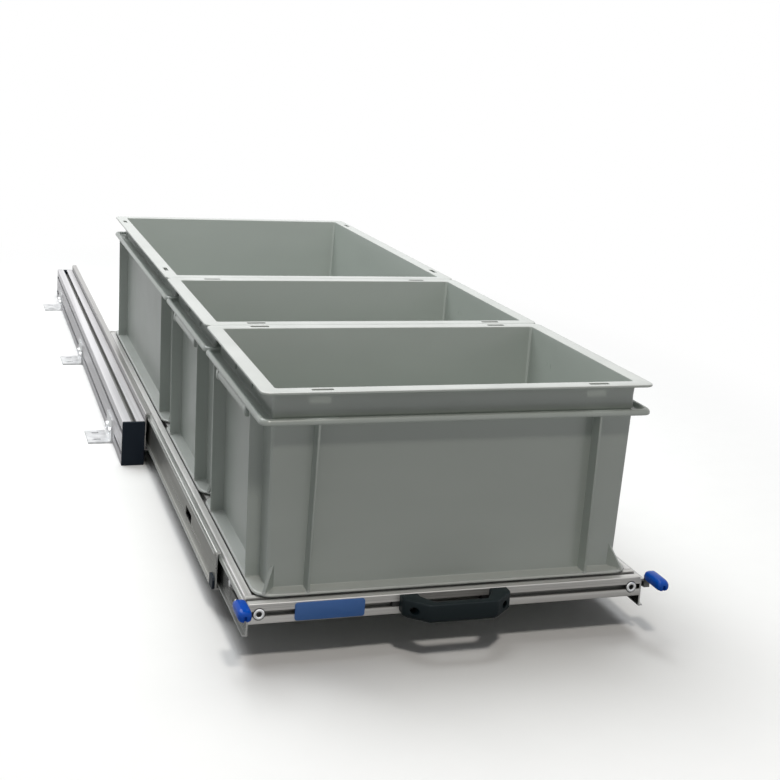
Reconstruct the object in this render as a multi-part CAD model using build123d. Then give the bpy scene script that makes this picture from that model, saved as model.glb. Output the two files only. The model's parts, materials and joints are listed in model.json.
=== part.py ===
"""Pull-out bin frame: three stacking bins on an aluminium tray that runs out of two
floor-mounted T-slot profiles on full-extension ball slides.
Millimetres. X is to the right, Y to the back, Z up; the floor is z = 0.
Lengths along Y are first measured from the front rim of the front bin."""
import math
import os
from build123d import *

os.makedirs("parts", exist_ok=True)

# Bins: outside size of each
BIN_W = 600.0
BIN_D = 400.0
BIG_BIN_D = 800.0
BIN_H = 320.0
FOOT_DROP = 22.5
BIN_PLAY = 1.0
LAP = 2.0
RIM_W = 24.0
BIG_RIM_W = 26.0
COLLAR_H = 45.0
FLANGE_T = 4.0
FLANGE_R = 14.0
LEDGE_T = 7.0
SKIN = 3.2
SHELL = 3.0
WALL_LEAN = 8.1
WALL_SLOPE = math.degrees(math.atan(WALL_LEAN / BIN_H))
FOOT_IN = BIN_PLAY / 2 + RIM_W + WALL_LEAN - SKIN
CORNER_R = 8.0
BASE_R = 26.0
BASE_INSET = 13.0
BASE_RING_H = 7.5
BASE_EDGE_R = 2.5
RIB_W = 6.0
RIB_INSET = 14.0
RIB_FROM_END = 85.0
SIDE_RIB_FROM_END = 72.5
RIM_SLOT_L = 32.0
RIM_SLOT_W = 8.0
RIM_SLOT_FROM_END = 88.0
GRIP_W = 206.0
GRIP_H = 12.0
GRIP_INSET = 4.0

# Floor profiles and their brackets
PROFILE_W = 45.0
PROFILE_H = 90.0
PROFILE_L = 1600.0
CAP_T = 4.0
CAP_EDGE = 1.0
PEG_L = 10.0
LOWER_SLOT_Z = PROFILE_H / 2 - PROFILE_W / 2
UPPER_SLOT_Z = PROFILE_H / 2 + PROFILE_W / 2
FRONT_BRACKET_IN = 178.0
REAR_BRACKET_IN = 152.0
BRACKET_L = 80.0
BRACKET_LEG = 50.0
BRACKET_FOOT = 50.0
BRACKET_T = 4.0
BRACKET_HOLE_DY = 22.0
BRACKET_SLOT_OUT = 30.0
BRACKET_SLOT_L = 16.0
BRACKET_SLOT_W = 7.0

# Tray frame of small T-slot bars, carried above the middle of the slides
BAR = 30.0
RAIL_LIFT = 10.0
SIDE_FOOT_PLAY = 2.4
END_FOOT_PLAY = 3.4
END_MARGIN = BAR + END_FOOT_PLAY - FOOT_IN
SLIDE_Z = UPPER_SLOT_Z
BAR_Z = SLIDE_Z + RAIL_LIFT
TRAY_TOP = BAR_Z + BAR / 2
TRAY_HALF = BIN_W / 2 + BAR + SIDE_FOOT_PLAY - FOOT_IN
RAIL_X = TRAY_HALF - BAR / 2
CROSSBAR_Y = (BIN_D, 2 * BIN_D)
TRAY_FRONT = -END_MARGIN
TRAY_REAR = 2 * BIN_D + BIG_BIN_D + END_MARGIN
RIM_TOP = TRAY_TOP - FOOT_DROP + BIN_H

# How far the slides are out in the rest pose
MID_OUT = 676.0
INNER_OUT = 166.0
PROFILE_Y0 = TRAY_FRONT + MID_OUT + INNER_OUT + CAP_T
PROFILE_Y1 = PROFILE_Y0 + PROFILE_L
BRACKET_Y = (PROFILE_Y0 + FRONT_BRACKET_IN,
             (PROFILE_Y0 + FRONT_BRACKET_IN + PROFILE_Y1 - REAR_BRACKET_IN) / 2,
             PROFILE_Y1 - REAR_BRACKET_IN)

# Slides, measured outwards from the side of the tray
GAP = 19.0
PROFILE_X0 = TRAY_HALF + GAP
PROFILE_X1 = PROFILE_X0 + PROFILE_W
PROFILE_X = (PROFILE_X0 + PROFILE_X1) / 2
PLATE = 2.5
MID_FLANGE = 3.0
INNER_BEND_R = 1.5
OUTER_HALF = 38.0
BALL_R = 3.175
RACE_R = 3.3
RACE_DEPTH = 0.425
PLAY = 0.05
SIDE_PLAY = 1.5
BALL_GAP = 2 * (BALL_R - RACE_DEPTH)
OUTER_IN = OUTER_HALF - PLATE
MID_HALF = OUTER_IN - BALL_GAP
MID_IN = MID_HALF - MID_FLANGE
INNER_HALF = MID_IN - BALL_GAP
INNER_TO = 7.0
OUTER_FROM = INNER_TO + 0.4
MID_WEB = INNER_TO + SIDE_PLAY
MID_FROM = 4.0
MID_TO = GAP - PLATE - SIDE_PLAY
OUTER_BALL_U = MID_TO - 3.4
INNER_BALL_U = INNER_TO - 2.9
CAGE_L = 600.0
CAGE_T = 0.7
CAGE_PLAY = 0.4
CAGE_BORE = BALL_R + 0.08
BALL_PITCH = 80.0
BALLS_IN_ROW = 8
BUMPER_T = 9.0
BUMPER_HALF = 24.0
BUMPER_FROM = 3.0
END_PLAY = 1.0
CATCH_L = 24.0
CATCH_CHAMFER = 3.0
WINDOW_IN = 204.0
WINDOW_L = 50.0
WINDOW_HALF = 8.0
SLIDE_Y0 = PROFILE_Y0
MID_Y0 = PROFILE_Y0 - MID_OUT
MID_L = PROFILE_L - BUMPER_T - END_PLAY
INNER_Y0 = TRAY_FRONT
INNER_L = PROFILE_L + CAP_T - BUMPER_T - 2 * END_PLAY

# Screws
M6 = 3.0
M6_HOLE = 3.1
M8 = 4.0
M8_HOLE = 4.2
SCREW_BORE = 4.2
HEAD_BORE = 6.6
HEAD_SEAT = 8.0
DISC_R = 8.0
DISC_T = 1.6
NUT_HOLD = 10.0
NUT10_L = 22.0
NUT8_L = 16.0
OUTER_SCREWS = 6
INNER_SCREW_PITCH = 200.0
INNER_SCREW_FROM_END = 20.0
OUTER_SCREW_IN = 60.0

# Lock levers at the front of the inner members
PIVOT_Y = 45.0
PIVOT_Z = SLIDE_Z + 6.5
PIN_R = 2.95
LEVER_T = 2.4
LEVER_TO = INNER_TO
LEVER_FROM = LEVER_TO - LEVER_T
GRIP_FROM = 6.0
GRIP_TO = 20.0
GRIP_L = 39.0
GRIP_GAP = 5.0
GRIP_T = 14.0
GRIP_Y1 = TRAY_FRONT - GRIP_GAP
GRIP_Y0 = GRIP_Y1 - GRIP_L
GRIP_Z0 = SLIDE_Z + 16.5
GRIP_Z1 = GRIP_Z0 + GRIP_T
GRIP_EDGE_R = 4.5
GRIP_END_R = 3.5
NOTCH_L = 7.0
TAIL = 41.0
TAB_T = 2.5
STRIP_U = GRIP_TO - 6.0
FORK_L = GRIP_L - 10.0
FRONT_END = INNER_Y0 - PIVOT_Y
PIN_HEAD_R = 4.4
PIN_HEAD_T = 0.8
WIRE_R = 0.4
COIL_R = PIN_R + WIRE_R + 0.95
COIL_PITCH = 2 * WIRE_R + 0.06
SPRING_LEG_IN = 14.0
SPRING_LEG_OUT = 12.0

# Handle and plate on the front bar
HANDLE_HALF = 83.0
HANDLE_REACH = 41.0
HANDLE_H = 28.0
HANDLE_T = 11.0
HANDLE_LEG = 28.0
HANDLE_FLAT = 52.0
HANDLE_KNEE = 14.0
HANDLE_SCREW_IN = 14.0
HANDLE_SCREW_X = HANDLE_HALF - HANDLE_SCREW_IN
PLATE_FROM_END = 117.0
PLATE_X = PLATE_FROM_END - TRAY_HALF
PLATE_L = 102.0
PLATE_W = 26.0
PLATE_T = 2.0
PLATE_CORNER_R = 3.0

# The middle of the whole object along Y, which becomes y = 0
Y_MID = (GRIP_Y0 + PROFILE_Y1 + CAP_T) / 2

nodes = {}


def put(name, shape):
    """Keep one named piece, moved so that y = 0 is the middle of the object."""
    nodes[name] = Pos(0, -Y_MID, 0) * shape


def group(shapes):
    """Join separate solids as one node without fusing them."""
    return Compound(children=[solid for shape in shapes for solid in shape.solids()])


def block(x0, x1, y0, y1, z0, z1):
    return Pos((x0 + x1) / 2, (y0 + y1) / 2, (z0 + z1) / 2) * Box(x1 - x0, y1 - y0, z1 - z0)


def flat(a0, a1, b0, b1):
    return Pos((a0 + a1) / 2, (b0 + b1) / 2) * Rectangle(a1 - a0, b1 - b0)


def along_y(section, y0, y1):
    """Sweep an (x, z) section from y0 to y1."""
    return Pos(0, y1, 0) * Rot(90, 0, 0) * extrude(section, y1 - y0)


def along_x(section, x0, x1):
    """Sweep a (y, z) section from x0 to x1."""
    return Pos(x0, 0, 0) * extrude(Plane.YZ * section, x1 - x0)


def rod_x(radius, x0, x1, y, z):
    return Pos((x0 + x1) / 2, y, z) * Rot(0, 90, 0) * Cylinder(radius, x1 - x0)


def rod_y(radius, y0, y1, x, z):
    return Pos(x, (y0 + y1) / 2, z) * Rot(90, 0, 0) * Cylinder(radius, y1 - y0)


def other_side(shape):
    return mirror(shape, about=Plane.YZ)


def on_face(origin, along, normal):
    """Where local x runs along a slot and local z leaves the face."""
    return Plane(origin=origin, x_dir=along, z_dir=normal).location


# T-slot sections
SLOT8 = dict(open=8.2, lip=2.2, wide=16.5, flat=1.8, floor=8.5, deep=9.3)
SLOT10 = dict(open=10.0, lip=4.5, wide=20.0, flat=3.0, floor=11.0, deep=14.5)
CORE8_R = 3.5
CORE10_R = 5.0
SMALL_EDGE_R = 1.5
LARGE_EDGE_R = 2.0
CHAMBER_WALL = 4.5
CORNER_CHAMBER = 5.0
NUT_NECK_PLAY = 0.2
NUT_SIDE_PLAY = 0.5
NUT_FLOOR_PLAY = 1.5


def slot_shape(slot):
    """The empty slot, its face at y = 0 and its floor below."""
    half_open = slot["open"] / 2
    half_wide = slot["wide"] / 2
    half_floor = slot["floor"] / 2
    shoulder = -slot["lip"]
    knee = shoulder - slot["flat"]
    right = [(half_open, 1), (half_open, shoulder), (half_wide, shoulder), (half_wide, knee),
             (half_floor, -slot["deep"])]
    left = [(-x, y) for x, y in reversed(right)]
    return Polygon(*right, *left, align=None)


def small_section():
    shape = RectangleRounded(BAR, BAR, SMALL_EDGE_R) - Circle(CORE8_R)
    for turn in (0, 90, 180, 270):
        shape -= Rot(0, 0, turn) * Pos(0, BAR / 2) * slot_shape(SLOT8)
    return shape


def large_section():
    shape = RectangleRounded(PROFILE_W, PROFILE_H, LARGE_EDGE_R)
    module = PROFILE_W / 2
    for turn in (0, 180):
        shape -= Rot(0, 0, turn) * Pos(0, PROFILE_H / 2) * slot_shape(SLOT10)
    for turn in (90, 270):
        for offset in (-module, module):
            shape -= Rot(0, 0, turn) * Pos(offset, PROFILE_W / 2) * slot_shape(SLOT10)
    for offset in (-module, module):
        shape -= Pos(0, offset) * Circle(CORE10_R)
    middle_h = PROFILE_W - SLOT10["wide"] - 7
    shape -= RectangleRounded(PROFILE_W - 2 * CHAMBER_WALL, middle_h, LARGE_EDGE_R)
    chamber_x = PROFILE_W / 2 - CORNER_CHAMBER
    chamber_z = PROFILE_H / 2 - CORNER_CHAMBER
    for x in (-chamber_x, chamber_x):
        for z in (-chamber_z, chamber_z):
            shape -= Pos(x, z) * RectangleRounded(CORNER_CHAMBER, CORNER_CHAMBER, 1)
    return shape


def slot_nut(slot, length, bore):
    """A nut inside a slot, in the frame of on_face."""
    half_neck = slot["open"] / 2 - NUT_NECK_PLAY
    half_wide = slot["wide"] / 2 - NUT_SIDE_PLAY
    half_floor = slot["floor"] / 2 - NUT_NECK_PLAY - 0.1
    top = -slot["lip"] - PLAY
    knee = -slot["lip"] - slot["flat"]
    low = -slot["deep"] + NUT_FLOOR_PLAY
    right = [(half_neck, -0.5), (half_neck, top), (half_wide, top), (half_wide, knee), (half_floor, low)]
    left = [(-x, y) for x, y in reversed(right)]
    body = along_x(Polygon(*right, *left, align=None), -length / 2, length / 2)
    return body - Cylinder(bore, 4 * slot["deep"])


def button_screw(radius, length, head_r, head_h):
    """Screw with a round head and a six-sided socket, the head standing on z = 0."""
    head = Pos(0, 0, head_h / 2) * Cylinder(head_r, head_h)
    head = fillet(head.edges().group_by(Axis.Z)[-1], head_h * 0.45)
    shank = Pos(0, 0, -length / 2) * Cylinder(radius, length)
    socket = Pos(0, 0, head_h * 0.35) * extrude(RegularPolygon(head_r * 0.45, 6), head_h)
    return head + shank - socket


def sunk_screw(radius, length, head_r, head_h):
    """Screw with a cone head that ends level with z = 0."""
    head = Pos(0, 0, -head_h / 2) * Cone(radius, head_r, head_h)
    shank = Pos(0, 0, -length / 2) * Cylinder(radius, length)
    socket = Pos(0, 0, -head_h * 0.7) * extrude(RegularPolygon(radius * 0.75, 6), head_h)
    return head + shank - socket


# Floor profiles with their caps
profile = Pos(PROFILE_X, 0, PROFILE_H / 2) * along_y(large_section(), PROFILE_Y0, PROFILE_Y1)
put("profile_right", profile)
put("profile_left", other_side(profile))


def end_cap(y_face, outward):
    """Plate over the end of a floor profile, with two pegs in its cores."""
    plate = extrude(RectangleRounded(PROFILE_W, PROFILE_H, LARGE_EDGE_R), CAP_T)
    plate = chamfer(plate.edges().group_by(Axis.Z)[-1], CAP_EDGE)
    for offset in (-PROFILE_W / 2, PROFILE_W / 2):
        plate += Pos(0, offset, -PEG_L / 2) * Cylinder(CORE10_R - 2 * PLAY, PEG_L)
    side = (1, 0, 0) if outward < 0 else (-1, 0, 0)
    return on_face((PROFILE_X, y_face, PROFILE_H / 2), side, (0, outward, 0)) * plate


for place, y_face, outward in (("front", PROFILE_Y0, -1), ("rear", PROFILE_Y1, 1)):
    cap = end_cap(y_face, outward)
    put("end_cap_" + place + "_right", cap)
    put("end_cap_" + place + "_left", other_side(cap))


def foot_bracket(y):
    """Angle on the outer side of a floor profile, with two slots for floor screws."""
    y0, y1 = y - BRACKET_L / 2, y + BRACKET_L / 2
    leg = block(PROFILE_X1, PROFILE_X1 + BRACKET_T, y0, y1, 0, BRACKET_LEG)
    foot = block(PROFILE_X1, PROFILE_X1 + BRACKET_FOOT, y0, y1, 0, BRACKET_T)
    bend = block(PROFILE_X1, PROFILE_X1 + 2 * BRACKET_T, y0, y1, 0, 2 * BRACKET_T)
    bend -= rod_y(BRACKET_T, y0, y1, PROFILE_X1 + 2 * BRACKET_T, 2 * BRACKET_T)
    shape = leg + foot + bend
    for dy in (-BRACKET_HOLE_DY, BRACKET_HOLE_DY):
        shape -= rod_x(M8_HOLE, PROFILE_X1 - 1, PROFILE_X1 + 3 * BRACKET_T, y + dy, LOWER_SLOT_Z)
        slot = extrude(SlotOverall(BRACKET_SLOT_L, BRACKET_SLOT_W), BRACKET_T + 2)
        shape -= Pos(PROFILE_X1 + BRACKET_SLOT_OUT, y + dy, -1) * slot
    return shape


bracket_screws = []
bracket_nuts = []
for place, y in zip(("front", "middle", "rear"), BRACKET_Y):
    bracket = foot_bracket(y)
    put("foot_bracket_" + place + "_right", bracket)
    put("foot_bracket_" + place + "_left", other_side(bracket))
    for dy in (-BRACKET_HOLE_DY, BRACKET_HOLE_DY):
        head_face = PROFILE_X1 + BRACKET_T
        screw = on_face((head_face, y + dy, LOWER_SLOT_Z), (0, 1, 0), (1, 0, 0))
        screw = screw * button_screw(M8, BRACKET_T + NUT_HOLD, 1.75 * M8, 1.1 * M8)
        nut = on_face((PROFILE_X1, y + dy, LOWER_SLOT_Z), (0, 1, 0), (1, 0, 0))
        nut = nut * slot_nut(SLOT10, NUT10_L, M8 + PLAY)
        bracket_screws += [screw, other_side(screw)]
        bracket_nuts += [nut, other_side(nut)]
put("bracket_screws", group(bracket_screws))
put("bracket_slot_nuts", group(bracket_nuts))


# Slides: an outer channel, a middle member with races on both sides, an inner channel
def u(distance):
    return TRAY_HALF + distance


def band(u0, u1, low, high, sign):
    z0, z1 = sorted((SLIDE_Z + sign * low, SLIDE_Z + sign * high))
    return flat(u(u0), u(u1), z0, z1)


def race(ball_u, centre, sign):
    return Pos(u(ball_u), SLIDE_Z + sign * centre) * Circle(RACE_R)


OUTER_BALL_Z = (OUTER_IN + MID_HALF) / 2
INNER_BALL_Z = (MID_IN + INNER_HALF) / 2
RACE_BACK = RACE_R - BALL_R - PLAY


def round_corners(section, corners, radius):
    """Round the section's corners that lie at the given points."""
    chosen = [v for v in section.vertices()
              if any(abs(v.X - a) < 0.01 and abs(v.Y - b) < 0.01 for a, b in corners)]
    return fillet(chosen, radius)


outer = flat(u(GAP - PLATE), u(GAP), SLIDE_Z - OUTER_HALF, SLIDE_Z + OUTER_HALF)
middle = flat(u(MID_WEB), u(MID_WEB + PLATE), SLIDE_Z - MID_HALF, SLIDE_Z + MID_HALF)
inner = flat(u(0), u(PLATE), SLIDE_Z - INNER_HALF, SLIDE_Z + INNER_HALF)
for sign in (1, -1):
    outer += band(OUTER_FROM, GAP, OUTER_IN, OUTER_HALF, sign)
    middle += band(MID_FROM, MID_TO, MID_IN, MID_HALF, sign)
    inner += band(0, INNER_TO, INNER_HALF - PLATE, INNER_HALF, sign)
outer = round_corners(outer, [(u(GAP), SLIDE_Z + s * OUTER_HALF) for s in (1, -1)], PLATE)
inner = round_corners(inner, [(u(0), SLIDE_Z + s * INNER_HALF) for s in (1, -1)], INNER_BEND_R)
for sign in (1, -1):
    outer -= race(OUTER_BALL_U, OUTER_BALL_Z - RACE_BACK, sign)
    middle -= race(OUTER_BALL_U, OUTER_BALL_Z + RACE_BACK, sign)
    middle -= race(INNER_BALL_U, INNER_BALL_Z - RACE_BACK, sign)
    inner -= race(INNER_BALL_U, INNER_BALL_Z + RACE_BACK, sign)

outer_slide = along_y(outer, SLIDE_Y0, PROFILE_Y1)
outer_screws = []
outer_nuts = []
for i in range(OUTER_SCREWS):
    y = SLIDE_Y0 + OUTER_SCREW_IN + i * (PROFILE_L - 2 * OUTER_SCREW_IN) / (OUTER_SCREWS - 1)
    cone = on_face((u(GAP - PLATE), y, SLIDE_Z), (0, 1, 0), (-1, 0, 0))
    outer_slide -= cone * (Pos(0, 0, -PLATE / 2) * Cone(M6_HOLE, 1.8 * M6 + 0.2, PLATE))
    screw = cone * sunk_screw(M6, PLATE + NUT_HOLD, 1.8 * M6, PLATE - 0.1)
    nut = on_face((u(GAP), y, SLIDE_Z), (0, 1, 0), (-1, 0, 0)) * slot_nut(SLOT10, NUT10_L, M6 + PLAY)
    outer_screws += [screw, other_side(screw)]
    outer_nuts += [nut, other_side(nut)]
put("slide_outer_right", outer_slide)
put("slide_outer_left", other_side(outer_slide))
put("slide_outer_screws", group(outer_screws))
put("slide_outer_slot_nuts", group(outer_nuts))

bumper = block(u(BUMPER_FROM), u(GAP - PLATE), PROFILE_Y1 - BUMPER_T, PROFILE_Y1,
               SLIDE_Z - BUMPER_HALF, SLIDE_Z + BUMPER_HALF)
bumper = fillet(bumper.edges().group_by(Axis.Y)[0], BUMPER_T / 4)
put("rear_bumper_right", bumper)
put("rear_bumper_left", other_side(bumper))

middle_slide = along_y(middle, MID_Y0, MID_Y0 + MID_L)
middle_slide -= block(u(MID_WEB - 1), u(MID_WEB + PLATE + 1), MID_Y0 + WINDOW_IN,
                      MID_Y0 + WINDOW_IN + WINDOW_L, SLIDE_Z - WINDOW_HALF, SLIDE_Z + WINDOW_HALF)
middle_slide -= block(u(MID_WEB + PLATE), u(MID_TO + 1), MID_Y0 - 1, MID_Y0 + CATCH_L + 2,
                      SLIDE_Z - MID_HALF - 1, SLIDE_Z - MID_IN + 0.5)
put("slide_middle_right", middle_slide)
put("slide_middle_left", other_side(middle_slide))
catch = block(u(MID_WEB + PLATE), u(MID_TO), MID_Y0 + 1, MID_Y0 + 1 + CATCH_L,
              SLIDE_Z - MID_HALF, SLIDE_Z - WINDOW_HALF - 4)
catch = chamfer(catch.edges().filter_by(Axis.X).group_by(Axis.Y)[0], CATCH_CHAMFER)
put("catch_block_right", catch)
put("catch_block_left", other_side(catch))


def inner_screw_places():
    """Where the inner member is screwed to the tray: evenly under each bin, clear of the crossbars."""
    places = []
    start = 0
    for length in (BIN_D, BIN_D, BIG_BIN_D):
        count = round(length / INNER_SCREW_PITCH)
        pitch = length / count
        places += [start + (i + 0.5) * pitch for i in range(count)]
        start += length
    return [y for y in places if y < INNER_Y0 + INNER_L - INNER_SCREW_FROM_END]


inner_slide = along_y(inner, INNER_Y0, INNER_Y0 + INNER_L)
inner_slide -= rod_x(PIN_R, u(-1), u(PLATE + 1), PIVOT_Y, PIVOT_Z)
inner_screws = []
inner_nuts = []
for y in inner_screw_places():
    inner_slide -= rod_x(M6_HOLE, u(-1), u(PLATE + 1), y, BAR_Z)
    seat = on_face((u(PLATE), y, BAR_Z), (0, 1, 0), (1, 0, 0))
    screw = seat * button_screw(M6, PLATE + NUT_HOLD - 2, 1.65 * M6, 0.9 * M6)
    nut = on_face((u(0), y, BAR_Z), (0, 1, 0), (1, 0, 0)) * slot_nut(SLOT8, NUT8_L, M6 + PLAY)
    inner_screws += [screw, other_side(screw)]
    inner_nuts += [nut, other_side(nut)]
put("slide_inner_right", inner_slide)
put("slide_inner_left", other_side(inner_slide))
put("slide_inner_screws", group(inner_screws))
put("slide_inner_slot_nuts", group(inner_nuts))


def ball_cage(name, web_u, from_u, ball_u, ball_z, y0):
    """A thin C strip with a row of balls above and below, put in as cage and balls."""
    top = SLIDE_Z + ball_z + CAGE_T / 2
    low = SLIDE_Z - ball_z - CAGE_T / 2
    section = flat(u(web_u), u(web_u + CAGE_T), low, top)
    for z in (low, top - CAGE_T):
        section += flat(u(from_u), u(web_u + CAGE_T), z, z + CAGE_T)
    cage = along_y(section, y0, y0 + CAGE_L)
    balls = []
    for i in range(BALLS_IN_ROW):
        y = y0 + (CAGE_L - (BALLS_IN_ROW - 1) * BALL_PITCH) / 2 + i * BALL_PITCH
        for sign in (-1, 1):
            z = SLIDE_Z + sign * ball_z
            cage -= Pos(u(ball_u), y, z) * Cylinder(CAGE_BORE, 3 * CAGE_T)
            balls.append(Pos(u(ball_u), y, z) * Sphere(BALL_R))
    put(name + "_cage_right", cage)
    put(name + "_cage_left", other_side(cage))
    balls = group(balls)
    put(name + "_balls_right", balls)
    put(name + "_balls_left", group([other_side(ball) for ball in balls.solids()]))


OUTER_CAGE_Y = SLIDE_Y0 + (PROFILE_L - CAGE_L) / 2 - MID_OUT / 2
INNER_CAGE_Y = MID_Y0 + (PROFILE_L - CAGE_L) / 2 - INNER_OUT / 2
ball_cage("outer", MID_TO + CAGE_PLAY, OUTER_BALL_U - CAGE_BORE - 0.8,
          OUTER_BALL_U, OUTER_BALL_Z, OUTER_CAGE_Y)
ball_cage("inner", INNER_TO + CAGE_PLAY, INNER_BALL_U - CAGE_BORE - 0.3,
          INNER_BALL_U, INNER_BALL_Z, INNER_CAGE_Y)

# Tray frame
rail = Pos(RAIL_X, 0, BAR_Z) * along_y(small_section(), TRAY_FRONT + BAR, TRAY_REAR - BAR)
crossbar_screws = []
for y in CROSSBAR_Y:
    rail -= rod_x(SCREW_BORE, RAIL_X - BAR / 2 - 1, TRAY_HALF, y, BAR_Z)
    rail -= rod_x(HEAD_BORE, TRAY_HALF - SLOT8["deep"], TRAY_HALF + 1, y, BAR_Z)
    seat = on_face((TRAY_HALF - SLOT8["deep"], y, BAR_Z), (0, 1, 0), (1, 0, 0))
    screw = seat * button_screw(CORE8_R - PLAY, BAR + NUT_HOLD, HEAD_BORE - 0.3, 4.5)
    crossbar_screws += [screw, other_side(screw)]
put("tray_rail_right", rail)
put("tray_rail_left", other_side(rail))
put("crossbar_screws", group(crossbar_screws))

cross_section = small_section()
for place, y in zip(("front", "rear"), CROSSBAR_Y):
    bar = Pos(0, y, BAR_Z) * along_x(cross_section, -TRAY_HALF + BAR, TRAY_HALF - BAR)
    put("crossbar_" + place, bar)

corner_screws = []
corner_discs = []
for place, y, face, outward in (("front", TRAY_FRONT + BAR / 2, TRAY_FRONT, -1),
                                ("rear", TRAY_REAR - BAR / 2, TRAY_REAR, 1)):
    bar = Pos(0, y, BAR_Z) * along_x(cross_section, -TRAY_HALF, TRAY_HALF)
    for x in (-RAIL_X, RAIL_X):
        bar -= rod_y(SCREW_BORE, y - BAR, y + BAR, x, BAR_Z)
        seat = on_face((x, face, BAR_Z), (1, 0, 0), (0, outward, 0))
        disc = Pos(0, 0, DISC_T / 2) * Cylinder(DISC_R, DISC_T)
        disc -= Cylinder(CORE8_R + 0.3, 4 * DISC_T)
        corner_discs.append(seat * disc)
        screw = Pos(0, 0, DISC_T) * button_screw(CORE8_R - PLAY, 2 * BAR, 0.7 * DISC_R, 3.4)
        corner_screws.append(seat * screw)
    put("tray_bar_" + place, bar)
put("corner_screws", group(corner_screws))
put("corner_discs", group(corner_discs))

# Pull handle and bare plate on the front bar
outer_line = [(HANDLE_HALF, 0), (HANDLE_HALF, -HANDLE_KNEE), (HANDLE_FLAT, -HANDLE_REACH)]
leg_inside = HANDLE_HALF - HANDLE_LEG
inner_line = [(leg_inside, 0), (leg_inside, HANDLE_T - HANDLE_KNEE - 6),
              (HANDLE_FLAT - 12, HANDLE_T - HANDLE_REACH)]
pts = [(-x, y) for x, y in outer_line] + outer_line[::-1]
pts += inner_line + [(-x, y) for x, y in inner_line[::-1]]
handle = extrude(Polygon(*pts, align=None), HANDLE_H)
handle = fillet(handle.edges().filter_by(Axis.Z).group_by(Axis.Y)[0], 6)
handle = Pos(0, TRAY_FRONT, BAR_Z - HANDLE_H / 2) * handle
handle = fillet(handle.edges().filter_by(Plane.XY).group_by(Axis.Z)[-1].filter_by(Axis.X)
                .group_by(Axis.Y)[0], 3)
handle_screws = []
handle_nuts = []
for x in (-HANDLE_SCREW_X, HANDLE_SCREW_X):
    handle -= rod_y(M6_HOLE, TRAY_FRONT - HANDLE_REACH - 1, TRAY_FRONT + 1, x, BAR_Z)
    handle -= rod_y(1.75 * M6 + 0.35, TRAY_FRONT - HANDLE_REACH - 1, TRAY_FRONT - HEAD_SEAT, x, BAR_Z)
    seat = on_face((x, TRAY_FRONT - HEAD_SEAT, BAR_Z), (1, 0, 0), (0, -1, 0))
    handle_screws.append(seat * button_screw(M6, HEAD_SEAT + NUT_HOLD - 2, 1.75 * M6, 1.1 * M6))
    seat = on_face((x, TRAY_FRONT, BAR_Z), (1, 0, 0), (0, -1, 0))
    handle_nuts.append(seat * slot_nut(SLOT8, NUT8_L, M6 + PLAY))
put("pull_handle", handle)
put("handle_screws", group(handle_screws))
put("handle_slot_nuts", group(handle_nuts))

plate = extrude(RectangleRounded(PLATE_L, PLATE_W, PLATE_CORNER_R), PLATE_T)
put("name_plate", on_face((PLATE_X, TRAY_FRONT, BAR_Z), (1, 0, 0), (0, -1, 0)) * plate)

# Lock levers: a steel strip on a pin, a plastic grip and a coil spring
# The strip's outline is measured from the pin and ends ahead of the inner member
side_pts = [(TAIL, -8), (TAIL, 2), (TAIL - 14, 6), (0, 7.5), (FRONT_END + 4, 11),
            (FRONT_END - 4, 11), (FRONT_END - 4, 3), (FRONT_END + 9, 2), (-13, -6.5), (15, -7)]
lever_side = Polygon(*[(PIVOT_Y + y, PIVOT_Z + z) for y, z in side_pts], align=None)
lever = along_x(lever_side, u(LEVER_FROM), u(LEVER_TO))
tab_y = INNER_Y0 - 4
strip_z = (GRIP_Z0 + 2, GRIP_Z1 - 2)
lever += block(u(LEVER_FROM), u(STRIP_U), tab_y, tab_y + TAB_T, PIVOT_Z + 3, strip_z[1])
lever += block(u(STRIP_U - TAB_T), u(STRIP_U), GRIP_Y1 - FORK_L, tab_y + TAB_T, *strip_z)
lever -= rod_x(PIN_R + PLAY, u(LEVER_FROM - 1), u(LEVER_TO + 1), PIVOT_Y, PIVOT_Z)
grip = block(u(GRIP_FROM), u(GRIP_TO), GRIP_Y0, GRIP_Y1, GRIP_Z0, GRIP_Z1)
grip = fillet(grip.edges().filter_by(Axis.Y), GRIP_EDGE_R)
grip = fillet(grip.edges().group_by(Axis.Y)[0], GRIP_END_R)
grip -= block(u(STRIP_U - TAB_T), u(STRIP_U), GRIP_Y1 - FORK_L, GRIP_Y1 + 1, *strip_z)
grip -= block(u(STRIP_U - TAB_T - 1), u(STRIP_U + 1.5), GRIP_Y0 - 1, GRIP_Y0 + NOTCH_L,
              GRIP_Z0 - 1, GRIP_Z0 + GRIP_T / 2)
head_u = LEVER_TO + 2 * PLAY
pin = rod_x(PIN_R, u(4 * PLAY), u(head_u + PLAY), PIVOT_Y, PIVOT_Z)
pin += rod_x(PIN_HEAD_R, u(head_u), u(head_u + PIN_HEAD_T), PIVOT_Y, PIVOT_Z)
coil_path = Helix(pitch=COIL_PITCH, height=COIL_PITCH, radius=COIL_R)
coil = sweep(Plane(origin=coil_path @ 0, z_dir=coil_path % 0) * Circle(WIRE_R), path=coil_path)
leg_in = Pos(COIL_R, SPRING_LEG_IN / 2, COIL_PITCH) * Rot(90, 0, 0) * Cylinder(WIRE_R, SPRING_LEG_IN)
leg_out = Pos(COIL_R, -SPRING_LEG_OUT / 2, 0) * Rot(90, 0, 0) * Cylinder(WIRE_R, SPRING_LEG_OUT)
coil = coil + leg_in + leg_out
spring = on_face((u(PLATE + 0.6), PIVOT_Y, PIVOT_Z), (0, 0.2, 1), (1, 0, 0)) * coil
put("lever_strip_right", lever)
put("lever_strip_left", other_side(lever))
put("lever_grip_right", grip)
put("lever_grip_left", other_side(grip))
put("lever_pins", group([pin, other_side(pin)]))
put("lever_springs", group([spring, other_side(spring)]))


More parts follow.
